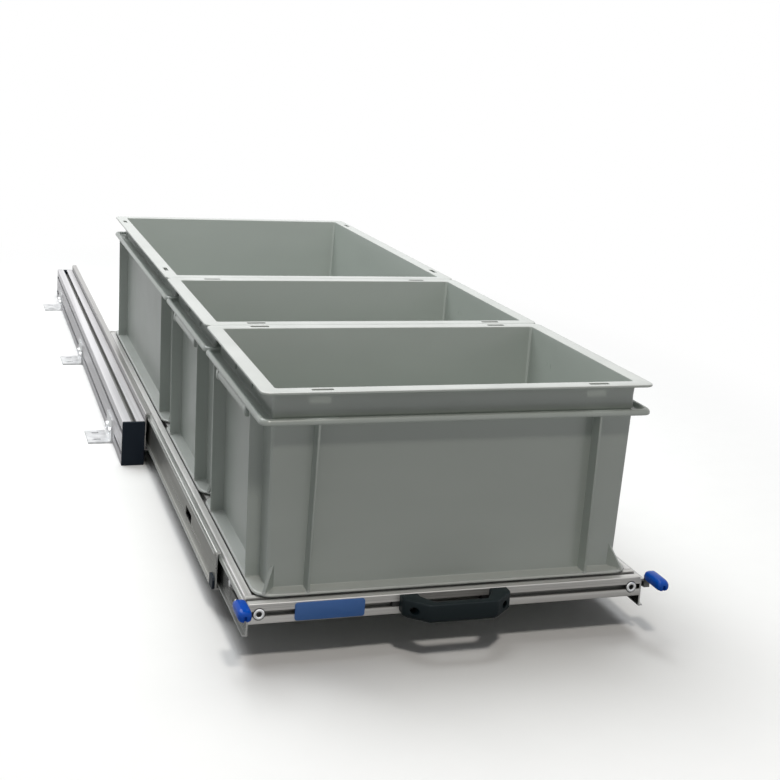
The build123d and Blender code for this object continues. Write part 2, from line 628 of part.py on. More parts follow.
# Stacking bins
def tapered(half_x, half_y, radius, z0, z1):
    """A rounded block that widens upwards at the slope of the walls."""
    base = RectangleRounded(2 * half_x, 2 * half_y, radius)
    return Pos(0, 0, z0) * extrude(base, z1 - z0, taper=-WALL_SLOPE)


def plate_ring(half_x, half_y, radius, z0, z1):
    return Pos(0, 0, z0) * extrude(RectangleRounded(2 * half_x, 2 * half_y, radius), z1 - z0)


def across(on_x, side, out0, out1, along0, along1, z0, z1):
    """A block on one side of a bin: out from the centre, along the side, and up."""
    low, high = sorted((side * out0, side * out1))
    if on_x:
        return block(low, high, along0, along1, z0, z1)
    return block(along0, along1, low, high, z0, z1)


def hand_grip(on_x, side, wall, reach, collar):
    """A bar hanging under the ledge, held by a small web at each end."""
    half = GRIP_W / 2
    low, high = collar - GRIP_H, collar + LAP
    outer = reach - GRIP_INSET
    grip = across(on_x, side, outer - SHELL, outer, -half, half, low, high)
    for end in (-half, half - SHELL):
        grip += across(on_x, side, wall, outer, end, end + SHELL, low, high)
    return grip


def stacking_bin(depth, rim, grips_on_x, rib_x, rib_y):
    """A bin centred on x = y = 0 with its height already above the floor."""
    hx, hy = (BIN_W - BIN_PLAY) / 2, (depth - BIN_PLAY) / 2
    bottom = RIM_TOP - BIN_H
    inner_x, inner_y = hx - rim - WALL_LEAN, hy - rim - WALL_LEAN
    collar = RIM_TOP - COLLAR_H
    body = tapered(inner_x + SKIN, inner_y + SKIN, CORNER_R, bottom, RIM_TOP - 1)
    base_x, base_y = hx - BASE_INSET, hy - BASE_INSET
    base = plate_ring(base_x, base_y, BASE_R, TRAY_TOP, TRAY_TOP + BASE_RING_H)
    body += fillet(base.edges().group_by(Axis.Z)[-1], BASE_EDGE_R)
    rib_low, rib_high = TRAY_TOP + LAP, collar + LAP
    for side in (-1, 1):
        for x in rib_x:
            body += across(False, side, inner_y + 1, hy - RIB_INSET, x - RIB_W / 2, x + RIB_W / 2,
                           rib_low, rib_high)
        for y in rib_y:
            body += across(True, side, inner_x + 1, hx - RIB_INSET, y - RIB_W / 2, y + RIB_W / 2,
                           rib_low, rib_high)
    body += plate_ring(hx, hy, FLANGE_R, collar, collar + LEDGE_T)
    body += plate_ring(hx, hy, FLANGE_R, RIM_TOP - FLANGE_T, RIM_TOP)
    for side in (-1, 1):
        reach, wall = (hx, inner_x + 1) if grips_on_x else (hy, inner_y + 1)
        body += hand_grip(grips_on_x, side, wall, reach, collar)
    body -= tapered(inner_x + LAP / 20, inner_y + LAP / 20, CORNER_R - SKIN,
                    bottom + SHELL, RIM_TOP + 1)
    for side in (-1, 1):
        for end in (-1, 1):
            if grips_on_x:
                spot = Pos(end * (hx - RIM_SLOT_FROM_END), side * (hy - rim / 2), 0)
                cut = Rectangle(RIM_SLOT_L, RIM_SLOT_W)
            else:
                spot = Pos(side * (hx - rim / 2), end * (hy - RIM_SLOT_FROM_END), 0)
                cut = Rectangle(RIM_SLOT_W, RIM_SLOT_L)
            body -= spot * Pos(0, 0, RIM_TOP - FLANGE_T - 1) * extrude(cut, FLANGE_T + 2)
    return body


rib_x = BIN_W / 2 - RIB_FROM_END
rib_y = BIN_D / 2 - SIDE_RIB_FROM_END
big_rib_y = BIG_BIN_D / 2 - SIDE_RIB_FROM_END
small_bin = stacking_bin(BIN_D, RIM_W, True, (-rib_x, rib_x), (-rib_y, rib_y))
big_bin = stacking_bin(BIG_BIN_D, BIG_RIM_W, False, (-rib_x, rib_x), (-big_rib_y, big_rib_y))
put("bin_front", Pos(0, BIN_D / 2, 0) * small_bin)
put("bin_middle", Pos(0, 3 * BIN_D / 2, 0) * small_bin)
put("bin_rear", Pos(0, 2 * BIN_D + BIG_BIN_D / 2, 0) * big_bin)

for name, shape in nodes.items():
    export_step(shape, "parts/" + name + ".step")
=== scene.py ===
"""Looks of the pull-out bin frame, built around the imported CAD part.
Metres, in the CAD frame: X right, Y back, Z up, floor at z = 0.
Sizes of pieces are written in millimetres and turned into metres by mm()."""

import json
import math

import bmesh
import bpy
from mathutils import Matrix, Vector

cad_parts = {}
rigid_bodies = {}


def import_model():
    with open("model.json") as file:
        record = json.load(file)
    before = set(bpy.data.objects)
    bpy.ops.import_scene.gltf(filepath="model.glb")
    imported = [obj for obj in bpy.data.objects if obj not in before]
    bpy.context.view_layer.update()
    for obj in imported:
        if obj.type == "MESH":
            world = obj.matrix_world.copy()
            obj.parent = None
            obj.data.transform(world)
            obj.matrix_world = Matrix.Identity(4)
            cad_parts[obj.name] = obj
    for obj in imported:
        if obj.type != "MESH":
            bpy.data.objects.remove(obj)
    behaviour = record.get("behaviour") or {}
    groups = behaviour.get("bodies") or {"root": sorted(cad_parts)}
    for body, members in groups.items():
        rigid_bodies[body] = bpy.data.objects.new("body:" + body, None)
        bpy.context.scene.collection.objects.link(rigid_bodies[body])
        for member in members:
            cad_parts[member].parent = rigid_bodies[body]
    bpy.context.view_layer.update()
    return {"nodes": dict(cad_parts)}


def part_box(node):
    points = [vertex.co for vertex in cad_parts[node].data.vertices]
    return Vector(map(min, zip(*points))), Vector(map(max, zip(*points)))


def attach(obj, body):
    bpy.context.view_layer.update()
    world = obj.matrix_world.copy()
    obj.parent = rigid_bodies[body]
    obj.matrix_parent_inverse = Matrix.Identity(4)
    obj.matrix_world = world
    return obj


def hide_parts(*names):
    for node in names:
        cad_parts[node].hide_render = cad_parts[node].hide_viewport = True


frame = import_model()


def mm(value):
    """Millimetres to metres."""
    return value / 1000


def to_mm(value):
    """Metres to millimetres."""
    return value * 1000


# Camera
PICTURE = 780
FOCAL_PIXELS = 1270.41
CENTRE_PIXEL = (337.98, 226.35)
SENSOR = 36.0
CAMERA_AT = (-0.70824, -2.80084, 0.86217)
CAMERA_AZIMUTH = 17.324
CAMERA_DOWN = 8.272
CAMERA_ROLL = -3.638


def make_camera():
    """The photograph's viewing angle, from a fit to the measured edges of the bins."""
    azimuth, down = math.radians(CAMERA_AZIMUTH), math.radians(CAMERA_DOWN)
    forward = Vector((math.sin(azimuth) * math.cos(down), math.cos(azimuth) * math.cos(down),
                      -math.sin(down)))
    level = forward.cross(Vector((0, 0, 1))).normalized()
    roll = Matrix.Rotation(math.radians(CAMERA_ROLL), 3, forward)
    right = roll @ level
    up = right.cross(forward)
    data = bpy.data.cameras.new("camera")
    data.sensor_width = SENSOR
    data.lens = FOCAL_PIXELS / PICTURE * SENSOR
    data.shift_x = (PICTURE / 2 - CENTRE_PIXEL[0]) / PICTURE
    data.shift_y = (CENTRE_PIXEL[1] - PICTURE / 2) / PICTURE
    camera = bpy.data.objects.new("camera", data)
    turn = Matrix((right, up, -forward)).transposed().to_4x4()
    camera.matrix_world = Matrix.Translation(CAMERA_AT) @ turn
    bpy.context.scene.collection.objects.link(camera)
    bpy.context.scene.camera = camera


make_camera()


# Materials: numbers of the colour sockets on a mix node
FIRST_COLOUR, SECOND_COLOUR, MIXED_COLOUR = 6, 7, 2


class Nodes:
    """A short way to write a node tree for one material."""

    def __init__(self, name):
        self.material = bpy.data.materials.new(name)
        self.material.use_nodes = True
        self.tree = self.material.node_tree
        self.shader = self.tree.nodes["Principled BSDF"]
        self.coords = self.add("ShaderNodeTexCoord").outputs["Object"]

    def add(self, kind, **settings):
        node = self.tree.nodes.new(kind)
        for key, value in settings.items():
            setattr(node, key, value)
        return node

    def link(self, source, target):
        self.tree.links.new(source, target)

    def stretched(self, scale):
        """Object coordinates in metres, multiplied by scale along each axis."""
        mapping = self.add("ShaderNodeMapping")
        mapping.inputs["Scale"].default_value = scale
        self.link(self.coords, mapping.inputs["Vector"])
        return mapping.outputs["Vector"]

    def drawn_out(self, axis, across, along):
        """Object coordinates for a pattern that is drawn out along one axis."""
        scale = [across, across, across]
        scale["XYZ".index(axis)] = along
        return self.stretched(scale)

    def noise(self, scale=1.0, detail=3.0, vector=None, rough=0.5):
        node = self.add("ShaderNodeTexNoise")
        node.inputs["Scale"].default_value = scale
        node.inputs["Detail"].default_value = detail
        node.inputs["Roughness"].default_value = rough
        self.link(vector or self.coords, node.inputs["Vector"])
        return node.outputs["Fac"]

    def spread(self, source, low, high, start=0.3, end=0.7):
        """Map a value from the range start..end to low..high."""
        node = self.add("ShaderNodeMapRange")
        node.inputs["From Min"].default_value = start
        node.inputs["From Max"].default_value = end
        node.inputs["To Min"].default_value = low
        node.inputs["To Max"].default_value = high
        self.link(source, node.inputs["Value"])
        return node.outputs["Result"]

    def colours(self, source, dark, light, start=0.3, end=0.7):
        """Map a value from the range start..end to colours from dark to light."""
        ramp = self.add("ShaderNodeValToRGB")
        ramp.color_ramp.elements[0].position = start
        ramp.color_ramp.elements[0].color = (*dark, 1)
        ramp.color_ramp.elements[1].position = end
        ramp.color_ramp.elements[1].color = (*light, 1)
        self.link(source, ramp.inputs["Fac"])
        return ramp.outputs["Color"]

    def blend(self, factor, first, second):
        mix = self.add("ShaderNodeMix", data_type="RGBA")
        self.link(factor, mix.inputs["Factor"])
        self.link(first, mix.inputs[FIRST_COLOUR])
        self.link(second, mix.inputs[SECOND_COLOUR])
        return mix.outputs[MIXED_COLOUR]

    def maths(self, operation, first, second=0.0):
        node = self.add("ShaderNodeMath", operation=operation)
        for socket, value in zip(node.inputs, (first, second)):
            if isinstance(value, (int, float)):
                socket.default_value = value
            else:
                self.link(value, socket)
        return node.outputs[0]

    def away(self, axis, centre, mirrored=False):
        """How far one coordinate lies from centre; mirrored takes both signs."""
        split = self.add("ShaderNodeSeparateXYZ")
        self.link(self.coords, split.inputs[0])
        value = split.outputs[axis]
        if mirrored:
            value = self.maths("ABSOLUTE", value)
        return self.maths("ABSOLUTE", self.maths("SUBTRACT", value, centre))

    def near(self, axis, centre, reach, mirrored=False):
        """1 where one coordinate lies within reach of centre, else 0."""
        return self.maths("LESS_THAN", self.away(axis, centre, mirrored), reach)

    def bump(self, height, strength, distance, under=None):
        node = self.add("ShaderNodeBump")
        node.inputs["Strength"].default_value = strength
        node.inputs["Distance"].default_value = distance
        self.link(height, node.inputs["Height"])
        if under:
            self.link(under, node.inputs["Normal"])
        return node.outputs["Normal"]

    def finish(self, colour, roughness, normal=None, metallic=0.0, gloss=0.5):
        self.link(colour, self.shader.inputs["Base Color"])
        self.link(roughness, self.shader.inputs["Roughness"])
        if normal:
            self.link(normal, self.shader.inputs["Normal"])
        self.shader.inputs["Metallic"].default_value = metallic
        self.shader.inputs["Specular IOR Level"].default_value = gloss
        return self.material


METALLIC = 0.9
ANODISED = 0.55
LINE_BUMP = {"strength": 0.3, "distance": 0.00003}
# Colours of the painted highlights on the bins' rim top and base edge
HIGHLIGHT_DARK, HIGHLIGHT_LIGHT = (0.50, 0.52, 0.50), (0.55, 0.57, 0.55)
# Colours of the painted shade inside the slots of the extruded bars
SLOT_SHADE_DARK, SLOT_SHADE_DIM = (0.24, 0.24, 0.23), (0.34, 0.34, 0.33)
SLIDE_Z = mm(67.5)
# Painted highlight on slide steel: how it blends in at the lips and how far it reaches from the cut end
LIP_BLEND = mm(2.0)
CUT_HIGHLIGHT_REACH = mm(0.4)
CRYSTALS = 240.0


def shade(colour, share):
    """A colour at a share of its brightness."""
    return tuple(share * channel for channel in colour)


def moulded_plastic(name, dark, light, rough=(0.42, 0.55), grain=2200.0, depth=0.00004, gloss=0.5,
                    painted_highlights=()):
    """Injection-moulded plastic: a fine grain, slow flow marks and painted highlights.
    The last argument gives the heights where a painted highlight makes it paler: (height, reach, share)
    for each."""
    n = Nodes(name)
    flow = n.noise(scale=3.0, detail=2.0, vector=n.stretched((1, 1, 3)))
    fine = n.noise(scale=grain, detail=2.0)
    cloud = n.noise(scale=14.0)
    speck = n.colours(cloud, shade(light, 0.96), light, start=0.1, end=0.9)
    colour = n.blend(n.spread(fine, low=0.1, high=0.35), n.colours(flow, dark, light), speck)
    # Painted highlights: paler bands at the given heights
    for height, reach, share in painted_highlights:
        highlight_share = n.spread(cloud, low=0.9 * share, high=share)
        highlight_share = n.maths("MULTIPLY", n.near("Z", height, reach), highlight_share)
        colour = n.blend(highlight_share, colour, n.colours(cloud, HIGHLIGHT_DARK, HIGHLIGHT_LIGHT))
    roughness = n.spread(cloud, *rough, start=0.15, end=0.85)
    waves = n.bump(n.noise(scale=5.0, detail=1.0), strength=0.1, distance=0.0012)
    normal = n.bump(fine, strength=0.18, distance=depth, under=waves)
    return n.finish(colour, roughness, normal, gloss=gloss)


def drawn_metal(name, dark, light, axis, rough=(0.26, 0.4), lines=900.0, metallic=METALLIC, slot_shade=()):
    """Drawn, rolled or extruded metal with fine lines along one axis.
    The last argument gives where painted shade darkens its deep slots: (axis, centre, reach, mirrored)
    for each test."""
    n = Nodes(name)
    streaks = n.noise(detail=4.0, vector=n.drawn_out(axis, across=lines, along=1.2), rough=0.6)
    bands = n.noise(vector=n.drawn_out(axis, across=90.0, along=0.9))
    colour = n.colours(bands, dark, light, start=0.38, end=0.62)
    fine = n.colours(streaks, shade(light, 0.7), light)
    colour = n.blend(n.spread(streaks, low=0.15, high=0.5), colour, fine)
    # Painted shade inside the deep slots, where every test holds
    if slot_shade:
        deep = 1.0
        for test in slot_shade:
            deep = n.maths("MULTIPLY", n.near(*test), deep)
        colour = n.blend(deep, colour, n.colours(bands, SLOT_SHADE_DARK, SLOT_SHADE_DIM))
    return n.finish(colour, n.spread(bands, *rough), n.bump(streaks, **LINE_BUMP), metallic)


def rolled_steel(name, node, web, lip_highlight, web_reach, rough=(0.24, 0.36)):
    """Cold-rolled slide steel: a darker web between lips with a painted highlight,
    and a painted highlight on the cut face at the front end of its node."""
    n = Nodes(name)
    cut_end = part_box(node)[0][1]
    # Painted highlight on the lips away from the web's middle and on the cut face at the front end
    edge = n.spread(n.away("Z", SLIDE_Z), low=0.0, high=1.0, start=web_reach - LIP_BLEND, end=web_reach)
    edge = n.maths("MAXIMUM", edge, n.near("Y", cut_end, CUT_HIGHLIGHT_REACH))
    streaks = n.noise(detail=4.0, vector=n.drawn_out("Y", across=700.0, along=1.2), rough=0.6)
    cloud = n.noise(vector=n.drawn_out("Y", across=40.0, along=3.0))
    dull = n.colours(cloud, shade(web, 0.72), web)
    bright = n.colours(streaks, shade(lip_highlight, 0.72), lip_highlight)
    roughness = n.spread(n.noise(vector=n.drawn_out("Y", across=60.0, along=1.5)), *rough)
    return n.finish(n.blend(edge, dull, bright), roughness, n.bump(streaks, **LINE_BUMP), METALLIC)


def plated_steel(name, dark, light, rough=(0.28, 0.42)):
    """Bright zinc: a faint crystal pattern and small stains."""
    n = Nodes(name)
    cells = n.add("ShaderNodeTexVoronoi", feature="F1")
    cells.inputs["Scale"].default_value = CRYSTALS
    n.link(n.coords, cells.inputs["Vector"])
    colour = n.colours(n.noise(scale=55.0, detail=5.0), dark, light, start=0.35, end=0.62)
    roughness = n.spread(n.noise(scale=130.0, detail=4.0), *rough)
    normal = n.bump(cells.outputs["Distance"], strength=0.1, distance=0.00004)
    return n.finish(colour, roughness, normal, METALLIC)


# Painted highlights on the bins: a paler rim top and a paler rounded edge of the base
BIN_PAINTED_HIGHLIGHTS = ((mm(389.5), mm(0.9), 1.0), (mm(98.6), mm(2.6), 0.75))
bin_plastic = moulded_plastic("bin_plastic", (0.333, 0.368, 0.342), (0.374, 0.413, 0.384),
                              rough=(0.27, 0.36), gloss=1.0, painted_highlights=BIN_PAINTED_HIGHLIGHTS)
cap_plastic = moulded_plastic("cap_plastic", (0.004, 0.009, 0.017), (0.008, 0.015, 0.027),
                              rough=(0.4, 0.55), gloss=0.25)
handle_plastic = moulded_plastic("handle_plastic", (0.003, 0.008, 0.010), (0.006, 0.013, 0.016),
                                 rough=(0.36, 0.48), grain=1500.0, depth=0.00008, gloss=0.22)
rubber = moulded_plastic("rubber", (0.012, 0.012, 0.012), (0.02, 0.02, 0.02), rough=(0.7, 0.85))
lever_plastic = moulded_plastic("lever_plastic", (0.001, 0.065, 0.46), (0.002, 0.105, 0.62),
                                rough=(0.06, 0.1), grain=900.0, depth=0.000005, gloss=0.16)
plate_plastic = moulded_plastic("plate_plastic", (0.04, 0.14, 0.43), (0.05, 0.165, 0.48),
                                rough=(0.32, 0.42), grain=1200.0, depth=0.00002)

# Extruded bars: where painted shade darkens their deep slots, as half widths round the middle of each bar
BAR_Z = mm(77.5)
BAR_SHADE_REACH = mm(12.8)
BAR_END = mm(302.5)
RAIL_X = mm(288.0)
PROFILE_X, PROFILE_Z = mm(344.5), mm(45.0)
PROFILE_SHADE_X, PROFILE_SHADE_Z = mm(18.5), mm(41.0)
BAR_DARK, BAR_LIGHT = (0.44, 0.435, 0.42), (0.80, 0.79, 0.77)
RAIL_DARK, RAIL_LIGHT = (0.50, 0.495, 0.485), (0.82, 0.81, 0.80)
PROFILE_DARK, PROFILE_LIGHT = (0.58, 0.565, 0.585), (0.77, 0.76, 0.78)


def extruded_metal(name, dark, light, axis, slot_shade):
    """Natural anodised aluminium, satin rather than bright."""
    return drawn_metal(name, dark, light, axis, rough=(0.34, 0.46), metallic=ANODISED, slot_shade=slot_shade)


def bar_metal(node):
    """A small bar along X, whose middle along Y is read from its node."""
    low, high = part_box(node)
    slot_shade = (("Z", BAR_Z, BAR_SHADE_REACH), ("Y", (low[1] + high[1]) / 2, BAR_SHADE_REACH), ("X", 0.0, BAR_END))
    return extruded_metal("metal_" + node, BAR_DARK, BAR_LIGHT, "X", slot_shade)


rail_metal = extruded_metal("rail_metal", RAIL_DARK, RAIL_LIGHT, "Y",
                            (("Z", BAR_Z, BAR_SHADE_REACH), ("X", RAIL_X, BAR_SHADE_REACH, True)))
profile_metal = extruded_metal("profile_metal", PROFILE_DARK, PROFILE_LIGHT, "Y",
                               (("Z", PROFILE_Z, PROFILE_SHADE_Z),
                                ("X", PROFILE_X, PROFILE_SHADE_X, True)))
outer_steel = rolled_steel("outer_steel", "slide_outer_left", web=(0.20, 0.20, 0.195),
                           lip_highlight=(0.56, 0.55, 0.54), web_reach=mm(36.0))
middle_steel = rolled_steel("middle_steel", "slide_middle_left", web=(0.31, 0.31, 0.285),
                            lip_highlight=(0.80, 0.80, 0.78), web_reach=mm(27.5))
inner_steel = rolled_steel("inner_steel", "slide_inner_left", web=(0.09, 0.095, 0.09),
                           lip_highlight=(0.60, 0.60, 0.59), web_reach=mm(19.5))
cage_steel = drawn_metal("cage_steel", (0.20, 0.20, 0.20), (0.34, 0.34, 0.34), "Y",
                         rough=(0.3, 0.42), lines=700.0)
zinc = plated_steel("zinc", (0.66, 0.67, 0.68), (0.86, 0.87, 0.88))
lever_steel = plated_steel("lever_steel", (0.07, 0.072, 0.068), (0.13, 0.132, 0.125), rough=(0.3, 0.45))
ball_steel = plated_steel("ball_steel", (0.60, 0.60, 0.62), (0.75, 0.75, 0.77), rough=(0.1, 0.18))
screw_steel = plated_steel("screw_steel", (0.05, 0.05, 0.05), (0.09, 0.09, 0.09), rough=(0.35, 0.5))

FINISH_BY_START = {
    "profile": profile_metal, "tray_rail": rail_metal, "end_cap": cap_plastic, "catch_block": cap_plastic,
    "rear_bumper": rubber, "pull_handle": handle_plastic, "name_plate": plate_plastic,
    "lever_grip": lever_plastic, "lever_strip": lever_steel, "bin": bin_plastic,
    "inner_balls": ball_steel, "outer_balls": ball_steel, "inner_cage": cage_steel,
    "outer_cage": cage_steel, "handle_screws": screw_steel, "crossbar_screws": screw_steel,
    "handle_slot_nuts": screw_steel, "slide_inner_slot_nuts": screw_steel,
    "slide_outer_left": outer_steel, "slide_outer_right": outer_steel,
    "slide_middle_left": middle_steel, "slide_middle_right": middle_steel,
    "slide_inner_left": inner_steel, "slide_inner_right": inner_steel,
}
for bar in ("tray_bar_front", "tray_bar_rear", "crossbar_front", "crossbar_rear"):
    FINISH_BY_START[bar] = bar_metal(bar)


def finish_cad_nodes():
    """Give each CAD node the finish that its name starts with, and zinc to all others."""
    for name, node in frame["nodes"].items():
        material = zinc
        for start, finish in FINISH_BY_START.items():
            if name.startswith(start):
                material = finish
        node.data.materials.clear()
        node.data.materials.append(material)


finish_cad_nodes()


# Mesh helpers
BEVEL_STEPS = 2
MERGE = 1e-7


def new_piece(name, mesh, material, body, *stands_for):
    """Put a finished mesh in the scene on its body, in place of the CAD nodes it stands for."""
    mesh.materials.clear()
    mesh.materials.append(material)
    piece = bpy.data.objects.new(name, mesh)
    bpy.context.scene.collection.objects.link(piece)
    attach(piece, body)
    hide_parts(*stands_for)
    return piece


def to_mesh(work, name, smooth_below=40.0):
    """Turn a bmesh into a mesh with its sharp edges kept sharp."""
    bmesh.ops.recalc_face_normals(work, faces=work.faces)
    limit = math.radians(smooth_below)
    for edge in work.edges:
        edge.smooth = len(edge.link_faces) == 2 and edge.calc_face_angle(0) < limit
    for face in work.faces:
        face.smooth = True
    mesh = bpy.data.meshes.new(name)
    work.to_mesh(mesh)
    work.free()
    return mesh


def rounded_rectangle(half_x, half_y, radius, steps=8):
    """Points round a rectangle with rounded corners, anticlockwise."""
    points = []
    for turn, (sx, sy) in enumerate(((1, 1), (-1, 1), (-1, -1), (1, -1))):
        for step in range(steps + 1):
            angle = math.pi / 2 * (turn + step / steps)
            points.append((sx * (half_x - radius) + radius * math.cos(angle),
                           sy * (half_y - radius) + radius * math.sin(angle)))
    return points


def quarter_round(centre, radius, start, steps=4):
    """Points on a quarter circle, from angle start in degrees, going on by 90."""
    points = []
    for step in range(steps + 1):
        angle = math.radians(start + 90 * step / steps)
        points.append((centre[0] + radius * math.cos(angle), centre[1] + radius * math.sin(angle)))
    return points


def add_block(work, low, high, bevel):
    """A block with rounded edges, in metres."""
    low, high = Vector(low), Vector(high)
    made = bmesh.ops.create_cube(work, size=1.0)["verts"]
    for vert in made:
        vert.co = Vector((low[i] + (vert.co[i] + 0.5) * (high[i] - low[i]) for i in range(3)))
    edges = list(dict.fromkeys(edge for vert in made for edge in vert.link_edges))
    bmesh.ops.bevel(work, geom=edges, offset=bevel, segments=BEVEL_STEPS, profile=0.5, affect="EDGES")


def closed_loft(work, rings):
    """Join rings of equal point counts into a skin, and close both ends."""
    rows = [[work.verts.new(point) for point in ring] for ring in rings]
    for first, second in zip(rows, rows[1:]):
        count = len(first)
        for i in range(count):
            j = (i + 1) % count
            work.faces.new((first[i], first[j], second[j], second[i]))
    work.faces.new(rows[0])
    work.faces.new(rows[-1])


def round_bar(name, start, axis, radius, length, sides=40):
    """A closed round bar from its start along a unit axis, all in metres."""
    axis = Vector(axis)
    first = axis.orthogonal().normalized()
    second = axis.cross(first)
    rings = []
    for along in (0, length):
        ring = []
        for i in range(sides):
            angle = 2 * math.pi * i / sides
            ring.append(Vector(start) + axis * along
                        + first * radius * math.cos(angle) + second * radius * math.sin(angle))
        rings.append(ring)
    work = bmesh.new()
    closed_loft(work, rings)
    return to_mesh(work, name)


def turned(work, centre, axis, profile, sides=48, six_sided_to=0.0):
    """Turn a closed (radius, height) profile about an axis; radii up to six_sided_to make a hexagon."""
    axis = Vector(axis)
    first = Vector((0, 0, 1))
    second = axis.cross(first)
    rows = []
    for radius, height in profile:
        row = []
        for i in range(sides):
            angle = 2 * math.pi * i / sides
            size = radius
            if 0 < radius <= six_sided_to:
                size = radius / math.cos((angle + math.pi / 6) % (math.pi / 3) - math.pi / 6)
            row.append(work.verts.new(Vector(centre) + axis * mm(height)
                                      + (first * math.cos(angle) + second * math.sin(angle)) * mm(size)))
        rows.append(row)
    for before, after in zip(rows, rows[1:] + rows[:1]):
        for i in range(sides):
            j = (i + 1) % sides
            work.faces.new((before[i], before[j], after[j], after[i]))
    bmesh.ops.remove_doubles(work, verts=work.verts, dist=MERGE)


def cut(mesh, cutters):
    """Take closed cutter meshes away from a closed mesh."""
    target = bpy.data.objects.new("target", mesh)
    scene = bpy.context.scene.collection.objects
    scene.link(target)
    tools = []
    for cutter in cutters:
        tool = bpy.data.objects.new("cutter", cutter)
        scene.link(tool)
        tools.append(tool)
        step = target.modifiers.new("cut", "BOOLEAN")
        step.operation = "DIFFERENCE"
        step.solver = "EXACT"
        step.object = tool
    bpy.context.view_layer.update()
    graph = bpy.context.evaluated_depsgraph_get()
    result = bpy.data.meshes.new_from_object(target.evaluated_get(graph))
    for item in (target, *tools):
        old = item.data
        bpy.data.objects.remove(item)
        bpy.data.meshes.remove(old)
    work = bmesh.new()
    work.from_mesh(result)
    bpy.data.meshes.remove(result)
    return work


# Bins: sizes in millimetres, insets measured inwards from the outer edge of the flanges
SMALL_RIM, BIG_RIM = 24.0, 26.0
WALL_LEAN = 8.1
SKIN = 3.2
BIN_H = 320.0
COLLAR_H = 47.0
FLANGE_T = 4.0
FLANGE_R = 14.0
OUTER_R = 4.5
INNER_R = 5.0
BASE_R = 26.0
BASE_INSET = 8.0
BASE_T = 7.5
BASE_GAP = 2.2
FOOT_DROP = 22.5
FLOOR_T = 3.0
RIM_START = 2.0
NECK_H = 2.5
ROLL_DROP = 3.6
RIB_X = 215.0
CELL_PLAY = 0.5
SIDE_RIB_FROM_END = 72.5
RIB_DEPTH = 20.5
RIB_HALF = 1.7
RIB_ROUND = 0.7
RIB_SPREAD = 0.8
RIB_SUNK = 1.0
RIB_FOOT_H, RIB_HEAD_H = 3.0, 4.0
SLOT_FROM_END = 88.0
SLOT_HALF_L, SLOT_HALF_W = 16.0, 4.0
SLOT_R = 2.4
FIN_H = 36.0
FIN_HALF = 2.4
FIN_TIP, FIN_ROOT = (20.5, 12.5), (36.5, 29.5)
FIN_UNDER = 3.0
FIN_LIP = 0.5
# Inner edge of the fin, as a share of the way from its tip to its root
FIN_INTO_WALL = 1.25
TICK_Y = 55.0
TICK_HALF = 0.6
TICK_CLEAR = 12.0
TICK_SUNK, TICK_PROUD = 2.0, 1.2
TICK_ROUND = 0.3
# Each bin: (node, width of its rim, whether its hand grips are on its left and right sides)
BINS = (("bin_front", SMALL_RIM, True), ("bin_middle", SMALL_RIM, True), ("bin_rear", BIG_RIM, False))

# Stretches of a bin's section: (inset, rise, added corner radius), from a wall or edge at some level
FLOOR_ROUND = ((8.0, 0.0, 0.0), (5.0, 0.6, 0.0), (1.6, 2.4, 0.0), (0.0, 7.0, 0.0))
RIM_INSIDE = ((-0.5, -0.5, 0.0), (-1.8, 0.0, 1.0))
FLANGE_TOP = ((1.6, 0.0, -1.0), (0.5, -0.4, 0.0), (0.0, -1.5, 0.0))
FLANGE_UNDER = ((0.0, 0.8, 0.0), (0.8, 0.0, 0.0))
NECK_TOP = ((-2.5, 0.0, 0.0), (-0.7, -0.7, 0.0))
LEDGE_UNDER = ((-1.0, 0.0, 0.0), (-0.3, -0.4, 0.0), (0.0, -1.4, 0.0))
BASE_TOP = ((0.0, 1.6, 0.0), (-0.3, 0.5, 0.0), (-1.4, 0.0, 2.0))
BASE_EDGE = ((3.0, -0.8, -1.0), (1.4, -1.2, 0.0), (0.4, -2.0, 0.0), (0.0, -3.2, 0.0))
BASE_UNDER = ((0.0, 0.8, 0.0), (0.8, 0.0, 0.0), (9.0, 0.0, -6.0))
FOOT_TOP = ((10.0, 0.0, -7.0),)
FOOT_ROUND = ((0.0, 2.0, 0.0), (1.5, 0.0, 0.0))
# Foot of the wall above the ledge: (flare, rise), down to a thin groove and the channel
WALL_FLARE = ((0.0, 20.0), (0.35, 12.0), (0.75, 7.0), (0.95, 3.0), (-0.8, 2.7), (-0.8, -1.4))
# Top of the ledge: (inset, rise) from its channel over the rounded roll at its edge
LEDGE_ROLL = ((13.4, -1.4), (11.8, -0.8), (10.4, 0.8), (9.2, 2.6), (7.6, 4.2), (5.8, 5.2), (4.0, 5.2),
              (2.4, 4.4), (1.0, 2.8), (0.2, 0.8), (0.0, -1.4), (0.6, -3.0), (1.8, -3.6))

# Hand grip: (inset, height from the underside of the ledge) round its bar and round its end blocks
GRIP_HALF = 103.0
GRIP_END = 13.0
GRIP_BAR_SHORT = 4.0
GRIP_BAR = ((10.0, 1.0), (4.5, 1.0), (2.2, -2.0), (0.9, -6.0), (0.8, -9.5), (1.8, -12.0), (4.0, -12.6),
            (5.6, -11.0), (6.0, -7.0), (7.5, -2.5))
GRIP_BLOCK = ((24.0, 1.0), (2.6, 1.0), (0.6, -2.0), (0.0, -6.0), (0.0, -11.5), (1.4, -15.0),
              (4.4, -16.0), (10.0, -15.0), (16.0, -11.0), (24.0, -8.0))
# Rounded ends of a block: (distance from its end, how much the section shrinks there)
GRIP_BLOCK_ROUND = ((0.0, 1.6), (0.6, 0.5), (2.0, 0.0))


